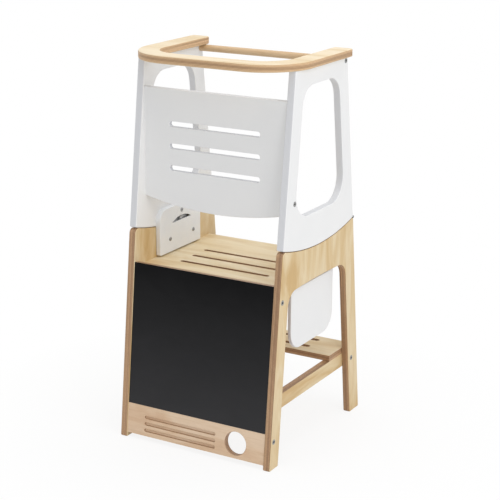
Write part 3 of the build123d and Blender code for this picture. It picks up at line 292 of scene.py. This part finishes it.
side_ply = plywood("birch_side", "X", "Z", inner_x, side_thickness, SHEET_PLIES, PALE_FACE, BROWN_EDGE)
stretcher_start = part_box("stretcher_right")[0].x
stretcher_ply = plywood(
    "birch_stretcher", "X", "Y", stretcher_start, inner_x - stretcher_start, SHEET_PLIES,
    PALE_FACE, BROWN_EDGE)
platform_ply = plywood(
    "birch_platform", "Z", "X", *height_of("platform"), SHEET_PLIES, TOP_FACE, BROWN_EDGE)
step_ply = plywood(
    "birch_step", "Z", "X", *height_of("step_board"), THIN_SHEET_PLIES, TOP_FACE, BROWN_EDGE)
rail_ply = plywood("birch_rail", "Z", "X", *height_of("top_rail"), SHEET_PLIES, RAIL_FACE, HONEY_EDGE)

FRONT_THICKNESS = 15 * MM
front_low, front_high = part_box("front_panel")
front_corner_z = front_low.z + FRONT_THICKNESS * sin(LEAN)
front_start = front_low.y * cos(LEAN) - front_corner_z * sin(LEAN)
front_ply = plywood(
    "birch_front", "Y", "X", front_start, FRONT_THICKNESS, THIN_SHEET_PLIES,
    PEACH_FACE, GROOVE_EDGE, LEAN, ROUTED_EDGE)
print("side boards are", round(side_thickness / MM, 1), "mm thick with", SHEET_PLIES, "plies")

# %% [markdown]
# ## White painted boards
#
# The upper boards are sprayed satin white. Paint is never perfectly flat: it has a fine orange-peel
# skin, and along a cut edge the plies still show through as faint ridges and a slightly greyer tone.
# Both are made by bump and a very weak tint, because a stronger one would look dirty.

# %% The paint
WHITE = (0.87, 0.872, 0.872)
WHITE_CLOUD = (0.845, 0.85, 0.855)
WHITE_EDGE = (0.76, 0.77, 0.79)
WHITE_EDGE_PLY = (0.69, 0.70, 0.73)


def white_paint(name, axis, start, thickness, plies):
    finish, tree, shader = new_finish(name, 0.42)
    point, normal = board_coordinates(tree)
    clouds = noise(tree, point, 6.0, 3.0, 0.5)
    face = ramp(tree, clouds, [(0.35, WHITE_CLOUD), (0.62, WHITE)])
    tones = (WHITE_EDGE, WHITE_EDGE_PLY, WHITE_EDGE_PLY)
    stripes = ply_stripes(tree, point, axis, start, thickness, plies, *tones)
    mask = broad_face_mask(tree, normal, axis, ROUNDED_EDGE)
    tree.links.new(blend_colours(tree, mask, stripes, face), shader.inputs["Base Color"])
    peel = noise(tree, point, 520.0, 2.0, 0.5)
    tree.links.new(remap(tree, peel, 0.3, 0.7, 0.36, 0.5), shader.inputs["Roughness"])
    bump(tree, shader, peel, 0.10, 0.12 * MM)
    return finish


side_paint = white_paint("white_side_paint", "X", inner_x, side_thickness, SHEET_PLIES)
guard_low, guard_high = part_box("guard_panel")
guard_paint = white_paint(
    "white_guard_paint", "Y", guard_low.y, guard_high.y - guard_low.y, GUARD_PLIES)
flap_low, flap_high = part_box("flap_panel")
flap_paint = white_paint("white_flap_paint", "X", flap_low.x, flap_high.x - flap_low.x, FLAP_PLIES)

# %% [markdown]
# ## Chalkboard
#
# The writing board is a thin hard panel with matt black paint. In use it is never quite black: wiped
# chalk leaves a soft grey haze, and the cloth leaves faint arcs. The haze is a slow noise. The grey
# also rises down the board as a painted reflection of the pale floor in front, painted on the board
# itself.

# %% The chalkboard paint
chalk_low, chalk_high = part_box("chalkboard")
CHALK_BLACK = (0.003, 0.003, 0.0035)
# The grey below is that of chalk dust and of a painted floor reflection that rises down the board.
CHALK_DUST_AND_REFLECTION = (0.046, 0.046, 0.049)
HAZE_SHARE = 0.16
WIPED_SHARE = 0.10
PAINTED_REFLECTION_SHARE = 0.74


def chalkboard_paint():
    finish, tree, shader = new_finish("chalkboard_paint", 0.62)
    shader.inputs["Specular IOR Level"].default_value = 0.10
    point = board_coordinates(tree)[0]
    # Painted reflection: the board turns greyer towards the bottom, as if it showed the pale floor.
    down = remap(tree, along(tree, point, "Z"), chalk_high.z, chalk_low.z, 0.0, 1.0)
    haze = noise(tree, stretched(tree, point, (1.0, 1.0, 1.7)), 9.0, 5.0, 0.6, 0.8)
    wiped = noise(tree, stretched(tree, point, (0.5, 1.0, 3.5)), 60.0, 4.0, 0.65, 1.2)
    smoke = calculate(tree, "MULTIPLY", haze, HAZE_SHARE)
    smoke = calculate(tree, "MULTIPLY_ADD", wiped, WIPED_SHARE, smoke)
    grey = calculate(tree, "MULTIPLY_ADD", down, PAINTED_REFLECTION_SHARE, smoke)
    board = ramp(tree, grey, [(0.12, CHALK_BLACK), (1.0, CHALK_DUST_AND_REFLECTION)])
    tree.links.new(board, shader.inputs["Base Color"])
    tooth = noise(tree, point, 1500.0, 2.0, 0.6)
    tree.links.new(remap(tree, wiped, 0.3, 0.7, 0.56, 0.72), shader.inputs["Roughness"])
    bump(tree, shader, tooth, 0.18, 0.1 * MM)
    return finish


chalk_paint = chalkboard_paint()

# %% [markdown]
# ## Moulded plastic, solid wood and metals
#
# The lock housings are moulded, with the fine matt skin of a spark-eroded tool. The round bar and the
# dowels are solid wood, so they have fibres but no plies. The fasteners are plated steel, the
# cams are cast zinc and the threaded inserts are turned brass. Each metal differs mainly in
# roughness and in how its tone wanders, so one recipe with different numbers does for all of them.
# The bolts take one thing more: the bottom of a key socket lies in shade, so what lies deeper than a
# hair below the head's face is painted nearly black, as painted shade.


# %% Plastic, solid wood and metal finishes
SOCKET_SHADE_DEPTH = 0.6 * MM
# The colour below is the painted shade at the bottom of a key socket.
SOCKET_PAINTED_SHADE = (0.012, 0.012, 0.013)
SOCKET_LIP = 0.2 * MM


def moulded_plastic():
    finish, tree, shader = new_finish("white_moulded_plastic", 0.45)
    point = board_coordinates(tree)[0]
    flow = noise(tree, point, 30.0, 2.0, 0.5, 0.5)
    tone = ramp(tree, flow, [(0.35, (0.85, 0.872, 0.90)), (0.65, (0.875, 0.89, 0.91))])
    tree.links.new(tone, shader.inputs["Base Color"])
    skin = noise(tree, point, 2200.0, 2.0, 0.6)
    tree.links.new(remap(tree, skin, 0.3, 0.7, 0.4, 0.52), shader.inputs["Roughness"])
    bump(tree, shader, skin, 0.12, 0.06 * MM)
    return finish


def solid_wood(name, grain, light, dark):
    finish, tree, shader = new_finish(name, 0.5)
    point = board_coordinates(tree)[0]
    fibre_point = squeezed(tree, point, grain, FIBRE_SQUEEZE)
    figure = noise(tree, squeezed(tree, point, grain, CLOUD_SQUEEZE), 40.0, 4.0, 0.6, 0.6)
    tone = ramp(tree, figure, [(0.32, dark), (0.66, light)])
    fibres = noise(tree, fibre_point, 700.0, 3.0, 0.6)
    tint = ramp(tree, fibres, [(0.3, (0.80, 0.72, 0.62)), (0.6, UNTINTED)])
    tree.links.new(blend_colours(tree, 0.6, tone, tint, "MULTIPLY"), shader.inputs["Base Color"])
    tree.links.new(remap(tree, fibres, 0.3, 0.7, *WOOD_SHEEN), shader.inputs["Roughness"])
    bump(tree, shader, fibres, 0.12, 0.2 * MM)
    return finish


def metal(name, dark, light, roughness, grain_scale, metallic=1.0, socket_below=None):
    finish, tree, shader = new_finish(name, roughness, metallic)
    point = board_coordinates(tree)[0]
    wander = noise(tree, point, 160.0, 3.0, 0.6, 0.4)
    tone = ramp(tree, wander, [(0.35, dark), (0.65, light)])
    # Painted shade: below the head's face the key socket is coloured nearly black.
    if socket_below is not None:
        across = calculate(tree, "ABSOLUTE", along(tree, point, "X"))
        outside = remap(tree, across, socket_below - SOCKET_SHADE_DEPTH, socket_below, 0.0, 1.0)
        tone = blend_colours(tree, outside, SOCKET_PAINTED_SHADE, tone)
    tree.links.new(tone, shader.inputs["Base Color"])
    fine = noise(tree, point, grain_scale, 3.0, 0.6)
    rough = remap(tree, fine, 0.3, 0.7, roughness - 0.07, roughness + 0.1)
    tree.links.new(rough, shader.inputs["Roughness"])
    bump(tree, shader, fine, 0.08, 0.04 * MM)
    return finish


plastic = moulded_plastic()
bar_wood = solid_wood("round_bar_beech", "X", (0.74, 0.55, 0.345), (0.62, 0.42, 0.235))
dowel_wood = solid_wood("dowel_beech", "X", (0.70, 0.50, 0.31), (0.60, 0.40, 0.23))
plated_steel = metal("plated_steel", (0.27, 0.275, 0.28), (0.44, 0.445, 0.45), 0.36, 1800.0)
bolt_steel = metal(
    "plated_bolt_steel", (0.25, 0.25, 0.245), (0.42, 0.42, 0.41), 0.34, 1800.0,
    socket_below=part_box("guard_bolts")[1].x - SOCKET_LIP)
pressed_steel = metal("pressed_steel", (0.36, 0.365, 0.37), (0.46, 0.465, 0.47), 0.5, 1500.0, 0.5)
coated_steel = metal("coated_steel", (0.50, 0.505, 0.51), (0.58, 0.585, 0.59), 0.5, 1500.0, 0.0)
cast_zinc = metal("cast_zinc", (0.50, 0.51, 0.53), (0.66, 0.67, 0.69), 0.52, 1200.0)
turned_brass = metal("turned_brass", (0.58, 0.44, 0.20), (0.74, 0.60, 0.30), 0.32, 2400.0)

# %% [markdown]
# ## Finishes on the solid model's pieces
#
# The solid model's own meshes are right for nearly every board, so they stay, and only their
# material slots change. The table below says which finish each kind of piece takes: the boards
# by name, everything else by the slot that the solid model gives it.

# %% Give every piece of the solid model its finish
by_name = {
    "base_side_right": side_ply,
    "base_side_left": side_ply,
    "stretcher_right": stretcher_ply,
    "stretcher_left": stretcher_ply,
    "platform": platform_ply,
    "step_board": step_ply,
    "top_rail": rail_ply,
    "front_panel": front_ply,
    "guard_panel": guard_paint,
    "flap_panel": flap_paint,
    "lock_back_plates": coated_steel,
}
by_slot = {
    "white_panel": side_paint,
    "chalkboard_face": chalk_paint,
    "round_bar_wood": bar_wood,
    "dowel_wood": dowel_wood,
    "white_plastic": plastic,
    "steel": plated_steel,
    "lever_steel": pressed_steel,
    "cam_zinc": cast_zinc,
    "insert_brass": turned_brass,
}
for name, piece in nodes.items():
    for material_slot in piece.material_slots:
        slot_name = material_slot.material.name.split(".")[0]
        material_slot.material = by_name.get(name) or by_slot[slot_name]
print("finished", len(nodes), "pieces of the solid model")

# %% [markdown]
# ## Making new pieces
#
# A few pieces repay closer work than their solids have: the bolt heads that show on both sides, the
# chalkboard and the round bar. They are modelled as by hand, from a primitive that is shaped
# in edit mode. These helpers select faces by their direction and bake a piece's place into its mesh.


# %% Helpers for modelling
FACES_THAT_WAY = 0.9


def deselect():
    bpy.ops.object.select_all(action="DESELECT")


def pick_faces(test):
    """In edit mode: select only the faces that pass a test of centre and normal."""
    piece = bpy.context.edit_object
    mesh = bmesh.from_edit_mesh(piece.data)
    for face in mesh.faces:
        face.select = False
    for edge in mesh.edges:
        edge.select = False
    for vertex in mesh.verts:
        vertex.select = False
    for face in mesh.faces:
        if test(face.calc_center_median(), face.normal):
            face.select = True
    mesh.select_flush_mode()
    bmesh.update_edit_mesh(piece.data)


def settle(piece, location=(0.0, 0.0, 0.0), rotation=(0.0, 0.0, 0.0)):
    """Move a piece to its place and leave its object at the origin."""
    deselect()
    piece.location = location
    piece.rotation_euler = rotation
    piece.select_set(True)
    bpy.context.view_layer.objects.active = piece
    bpy.ops.object.transform_apply(location=True, rotation=True, scale=True)


def finish_piece(piece, name, material, body, slot, *replaced):
    piece.name = name
    piece.data.name = name
    piece.data.materials.clear()
    piece.data.materials.append(material)
    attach(piece, body)
    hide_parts(*replaced)
    print("made", name, "with", len(piece.data.polygons), "faces")


# %% [markdown]
# ## The bolts
#
# Each cross piece is drawn tight by a bolt with a low round head, let into the side panel. The key
# socket is a six-sided pocket. A disc is the start: its rim is
# bevelled, the far face is inset to the shank's width and extruded, and the socket is taken out with
# a boolean, because a six-sided hole can't be inset from a round face without uneven walls.

# %% Model one bolt, standing on its shank
bolts_low, bolts_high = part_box("guard_bolts")
bolt_face_x = bolts_high.x
HEAD_RADIUS = (bolts_high.z - bolts_low.z) / 2
HEAD_HEIGHT = 2.0 * MM
SHANK_RADIUS = 2.5 * MM
RIM_BEVEL = 0.55 * MM
KEY_ACROSS_FLATS = 5.0 * MM
KEY_DEPTH = 1.4 * MM
REACH_PAST_PANEL = 14.0 * MM
SOCKET_EDGE = 0.08 * MM
THREAD_TURNS = 12
THREAD_PITCH = 1.0 * MM
THREAD_DEPTH = 0.3 * MM
shank_length = bolt_face_x - HEAD_HEIGHT - (inner_x - REACH_PAST_PANEL)


def model_bolt():
    deselect()
    bpy.ops.mesh.primitive_cylinder_add(
        vertices=48, radius=HEAD_RADIUS, depth=HEAD_HEIGHT, location=(0, 0, -HEAD_HEIGHT / 2))
    bolt = bpy.context.object
    settle(bolt, bolt.location)
    bpy.ops.object.mode_set(mode="EDIT")
    bpy.ops.mesh.select_mode(type="FACE")
    pick_faces(lambda centre, normal: normal.z > FACES_THAT_WAY)
    bpy.ops.mesh.bevel(offset=RIM_BEVEL, segments=4, affect="EDGES")
    pick_faces(lambda centre, normal: normal.z < -FACES_THAT_WAY)
    bpy.ops.mesh.inset(thickness=HEAD_RADIUS - SHANK_RADIUS)
    plain = shank_length - THREAD_TURNS * THREAD_PITCH
    bpy.ops.mesh.extrude_region_move(TRANSFORM_OT_translate={"value": (0, 0, -plain)})
    groove = 1 - THREAD_DEPTH / SHANK_RADIUS
    half_turn = (0, 0, -THREAD_PITCH / 2)
    for turn in range(THREAD_TURNS):
        for size in (groove, 1 / groove):
            bpy.ops.mesh.extrude_region_move(TRANSFORM_OT_translate={"value": half_turn})
            bpy.ops.transform.resize(value=(size, size, 1))
    bpy.ops.mesh.bevel(offset=THREAD_DEPTH, segments=2, affect="EDGES")
    bpy.ops.object.mode_set(mode="OBJECT")
    return bolt


def cut_key_socket(bolt):
    deselect()
    bpy.ops.mesh.primitive_cylinder_add(
        vertices=6, radius=KEY_ACROSS_FLATS / 2 / cos(pi / 6), depth=2 * KEY_DEPTH)
    cutter = bpy.context.object
    deselect()
    bolt.select_set(True)
    bpy.context.view_layer.objects.active = bolt
    cut = bolt.modifiers.new("key_socket", "BOOLEAN")
    cut.operation = "DIFFERENCE"
    cut.object = cutter
    bpy.ops.object.modifier_apply(modifier=cut.name)
    bpy.data.objects.remove(cutter)
    soft = bolt.modifiers.new("soft_edges", "BEVEL")
    soft.width = SOCKET_EDGE
    soft.segments = 2
    soft.limit_method = "ANGLE"
    soft.angle_limit = radians(50)
    bpy.ops.object.modifier_apply(modifier=soft.name)
    bpy.ops.object.shade_smooth_by_angle(angle=radians(35))


master_bolt = model_bolt()
cut_key_socket(master_bolt)

# %% [markdown]
# The same bolt is used ten times. A copy with its own mesh goes to each place, turned so that its
# head faces outwards. The places are read from the solid model: where a group holds two rows, the
# lower row is at the front of its box because the near edge leans back.

# %% Put a bolt at every place
front_low_bolts, front_high_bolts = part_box("front_panel_bolts")
bolt_rows = [
    ("front_low_bolt", "front_panel_bolts", "base",
     front_low_bolts.y + HEAD_RADIUS, front_low_bolts.z + HEAD_RADIUS),
    ("front_high_bolt", "front_panel_bolts", "base",
     front_high_bolts.y - HEAD_RADIUS, front_high_bolts.z - HEAD_RADIUS),
]
for label, node, body in (
    ("stretcher_bolt", "stretcher_bolts", "base"),
    ("guard_bolt", "guard_bolts", "upper_frame"),
    ("crossbar_bolt", "crossbar_bolts", "upper_frame"),
):
    low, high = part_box(node)
    bolt_rows.append((label, node, body, (low.y + high.y) / 2, (low.z + high.z) / 2))

for label, node, body, y, z in bolt_rows:
    for side, direction in (("right", 1), ("left", -1)):
        bolt = master_bolt.copy()
        bolt.data = master_bolt.data.copy()
        bpy.context.scene.collection.objects.link(bolt)
        settle(bolt, (direction * bolt_face_x, y, z), (0.0, direction * pi / 2, 0.0))
        finish_piece(bolt, f"{label}_{side}", bolt_steel, body, "steel", node)
bpy.data.objects.remove(master_bolt)

# %% [markdown]
# ## The chalkboard
#
# The writing board is a 3 mm sheet let into the front, flush with the wooden strip below it. Its
# visible edges are eased so that light catches them. A cube is given the sheet's size, bevelled all
# round, and leaned back to the slope of the near edges.

# %% Model the chalkboard
CHALK_THICKNESS = 3 * MM
EASED_EDGE = 0.45 * MM
chalk_width = chalk_high.x - chalk_low.x
chalk_height = (chalk_high.z - chalk_low.z - CHALK_THICKNESS * sin(LEAN)) / cos(LEAN)
deselect()
bpy.ops.mesh.primitive_cube_add(size=1)
writing_board = bpy.context.object
writing_board.scale = (chalk_width, CHALK_THICKNESS, chalk_height)
settle(writing_board)
bpy.ops.object.mode_set(mode="EDIT")
bpy.ops.mesh.select_mode(type="FACE")
pick_faces(lambda centre, normal: normal.y < -FACES_THAT_WAY)
bpy.ops.mesh.bevel(offset=EASED_EDGE, segments=3, affect="EDGES")
bpy.ops.object.mode_set(mode="OBJECT")
settle(writing_board, (chalk_low + chalk_high) / 2, (-LEAN, 0.0, 0.0))
bpy.ops.object.shade_smooth_by_angle(angle=radians(40))
finish_piece(writing_board, "chalk_writing_board", chalk_paint, "base", "chalkboard_face", "chalkboard")

# %% [markdown]
# ## The round bar
#
# A 16 mm beech bar joins the white side panels under the far ends of the rail. It is turned stock
# with its ends broken by a small chamfer, where it meets the panels. A cylinder is laid along X and
# its two end rims are bevelled.

# %% Model the round bar
END_CHAMFER = 0.8 * MM
bar_low, bar_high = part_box("crossbar")
deselect()
bpy.ops.mesh.primitive_cylinder_add(
    vertices=64, radius=(bar_high.z - bar_low.z) / 2, depth=bar_high.x - bar_low.x)
round_bar = bpy.context.object
bpy.ops.object.mode_set(mode="EDIT")
bpy.ops.mesh.select_mode(type="FACE")
pick_faces(lambda centre, normal: abs(normal.z) > FACES_THAT_WAY)
bpy.ops.mesh.bevel(offset=END_CHAMFER, segments=3, affect="EDGES")
bpy.ops.object.mode_set(mode="OBJECT")
settle(round_bar, (bar_low + bar_high) / 2, (0.0, pi / 2, 0.0))
bpy.ops.object.shade_smooth_by_angle(angle=radians(35))
finish_piece(round_bar, "turned_round_bar", bar_wood, "upper_frame", "round_bar_wood", "crossbar")

# %% [markdown]
# ## Floor and background
#
# The object stands on a plain white sweep. For the camera the floor is mostly its own white, so that
# it melts into the background, and a part of it is an ordinary matt surface that keeps the shadow.
# The shadow fades out within a step of the object. For all other rays it is a matt pale floor that
# throws soft light up at the undersides.

# %% Build the floor
FLOOR_SIZE = 12.0
FLOOR_GLOW_SHARE = 0.85
SHADOW_NEAR = 0.25
SHADOW_FAR = 0.75
FLOOR_COLOUR = (0.92, 0.92, 0.92, 1.0)
deselect()
bpy.ops.mesh.primitive_plane_add(size=FLOOR_SIZE)
floor = bpy.context.object
floor.name = "studio_floor"
floor_finish = bpy.data.materials.new("studio_floor_finish")
floor_finish.use_nodes = True
tree = floor_finish.node_tree
tree.nodes.remove(tree.nodes["Principled BSDF"])
matt = add(tree, "ShaderNodeBsdfDiffuse")
matt.inputs["Color"].default_value = FLOOR_COLOUR
glow = add(tree, "ShaderNodeEmission")
rays = add(tree, "ShaderNodeLightPath")
seen = calculate(tree, "MAXIMUM", rays.outputs["Is Camera Ray"], rays.outputs["Is Glossy Ray"])
place = add(tree, "ShaderNodeTexCoord")
length = add(tree, "ShaderNodeVectorMath", operation="LENGTH")
feed(tree, length.inputs[0], place.outputs["Object"])
fade = remap(tree, length.outputs["Value"], SHADOW_NEAR, SHADOW_FAR, FLOOR_GLOW_SHARE, 1.0)
share = calculate(tree, "MULTIPLY", seen, fade)
mixed = add(tree, "ShaderNodeMixShader")
feed(tree, mixed.inputs[0], share)
feed(tree, mixed.inputs[1], matt.outputs["BSDF"])
feed(tree, mixed.inputs[2], glow.outputs["Emission"])
feed(tree, tree.nodes["Material Output"].inputs["Surface"], mixed.outputs["Shader"])
floor.data.materials.append(floor_finish)

# %% [markdown]
# ## Light
#
# The light is that of a white studio: an even glow from all round, a large soft box high on the
# right, and a weaker one overhead. Together they bring a surface that faces right to about the colour
# that its finish names, tops a little over it, and the left a little under.

# %% Set the world and the lamps
WORLD_LEVEL = 0.60
WHITE_LIGHT = (1.0, 1.0, 1.0, 1.0)
LAMPS_AIM_AT = (0.0, 0.0, 0.45)
world = bpy.data.worlds.new("white_studio")
bpy.context.scene.world = world
world.use_nodes = True
tree = world.node_tree
around = tree.nodes["Background"]
around.inputs["Color"].default_value = WHITE_LIGHT
around.inputs["Strength"].default_value = WORLD_LEVEL
backdrop = add(tree, "ShaderNodeBackground")
backdrop.inputs["Color"].default_value = WHITE_LIGHT
rays = add(tree, "ShaderNodeLightPath")
seen = calculate(tree, "MAXIMUM", rays.outputs["Is Camera Ray"], rays.outputs["Is Glossy Ray"])
seen = calculate(tree, "MAXIMUM", seen, rays.outputs["Is Transmission Ray"])
mixed = add(tree, "ShaderNodeMixShader")
feed(tree, mixed.inputs[0], seen)
feed(tree, mixed.inputs[1], around.outputs["Background"])
feed(tree, mixed.inputs[2], backdrop.outputs["Background"])
feed(tree, tree.nodes["World Output"].inputs["Surface"], mixed.outputs["Shader"])


def soft_box(name, location, size, watts):
    lamp = bpy.data.lights.new(name, "AREA")
    lamp.shape = "SQUARE"
    lamp.size = size
    lamp.energy = watts
    box = bpy.data.objects.new(name, lamp)
    box.location = location
    aim = Vector(LAMPS_AIM_AT) - Vector(location)
    box.rotation_euler = aim.to_track_quat("-Z", "Y").to_euler()
    bpy.context.scene.collection.objects.link(box)


soft_box("key_soft_box", (2.9, -1.0, 2.1), size=2.4, watts=36.0)
soft_box("top_soft_box", (0.1, -0.1, 3.6), size=2.0, watts=36.0)

# %% [markdown]
# ## Camera
#
# The camera stands to the right of the chalkboard side, a little above the object, with a long lens.
# Its place comes from fitting the corners of the object to a picture of it. That
# picture's centre isn't quite on the lens axis, so the lens is shifted by a few hundredths.

# %% Place the camera
CAMERA_PLACE = (1.63755, -2.79591, 1.38991)
CAMERA_DOWN = 16.740
CAMERA_ROUND = 30.7135
LENS = 104.226
LENS_SHIFT_X = 0.0319
LENS_SHIFT_Y = 0.0110
camera_data = bpy.data.cameras.new("camera")
camera = bpy.data.objects.new("camera", camera_data)
bpy.context.scene.collection.objects.link(camera)
bpy.context.scene.camera = camera
camera_data.sensor_width = 36.0
camera_data.lens = LENS
camera_data.shift_x = LENS_SHIFT_X
camera_data.shift_y = LENS_SHIFT_Y
camera_data.clip_start = 0.1
camera_data.clip_end = 50.0
camera.location = CAMERA_PLACE
camera.rotation_euler = (radians(90 - CAMERA_DOWN), 0.0, radians(CAMERA_ROUND))
bpy.context.scene.view_settings.view_transform = "Standard"
print("the camera stands", round(camera.location.length, 2), "m away")
